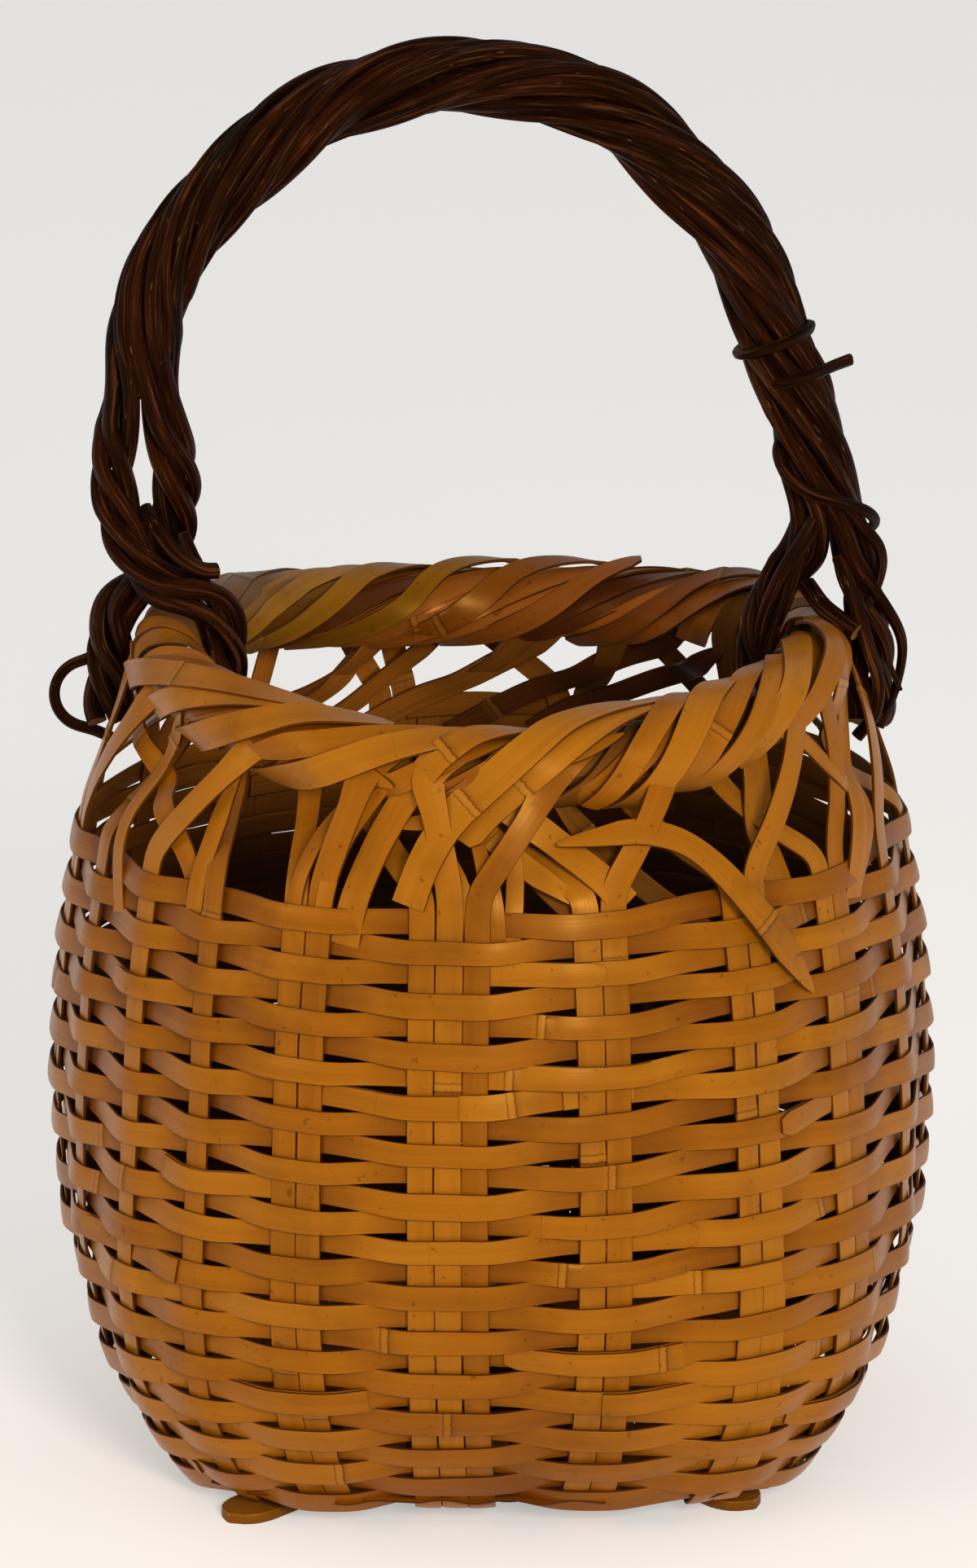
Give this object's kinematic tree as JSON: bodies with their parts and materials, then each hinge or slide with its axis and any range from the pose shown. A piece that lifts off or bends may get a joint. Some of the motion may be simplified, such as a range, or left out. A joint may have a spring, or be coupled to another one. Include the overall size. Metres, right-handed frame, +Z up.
{
  "type": "ikebana basket",
  "caption": "Squat woven bamboo flower basket with a squared base, an open plaited band under a twisted rim and a tall arched handle of twisted vine.",
  "frame": {"origin": "centre of the bounding box, at the level of the surface that the lower base slat rests on", "axes": "+Z up; -Y towards the front that the picture shows; +X to the right seen from that front, along the plane of the handle's arch"},
  "size_m": [0.2288, 0.2292, 0.3626],
  "materials": {
    "bamboo": "satin, smoked split bamboo",
    "bamboo_dark": "satin, darker smoked bamboo",
    "vine": "matte, barked vine"
  },
  "bodies": {
    "root": {"weft_01": "bamboo", "weft_02": "bamboo", "weft_03": "bamboo", "weft_04": "bamboo", "weft_05": "bamboo", "weft_06": "bamboo", "weft_07": "bamboo", "weft_08": "bamboo", "weft_09": "bamboo", "stake_long_01": "bamboo", "stake_long_02": "bamboo", "stake_long_03": "bamboo", "stake_long_04": "bamboo", "stake_long_05": "bamboo", "stake_long_06": "bamboo", "stake_long_07": "bamboo", "stake_long_08": "bamboo", "stake_long_09": "bamboo", "stake_long_10": "bamboo", "stake_cross_01": "bamboo", "stake_cross_02": "bamboo", "stake_cross_03": "bamboo", "stake_cross_04": "bamboo", "stake_cross_05": "bamboo", "stake_cross_06": "bamboo", "stake_cross_07": "bamboo", "base_slat_lower": "bamboo_dark", "base_slat_upper": "bamboo_dark", "rim_core": "bamboo_dark", "handle_vine_1": "vine", "handle_vine_2": "vine", "handle_vine_3": "vine", "handle_vine_4": "vine", "handle_vine_5": "vine", "handle_vine_6": "vine", "handle_vine_7": "vine", "handle_vine_8": "vine", "handle_core_vine": "vine", "handle_wrap": "vine", "handle_stray_vine": "vine"}
  },
  "joints": []
}
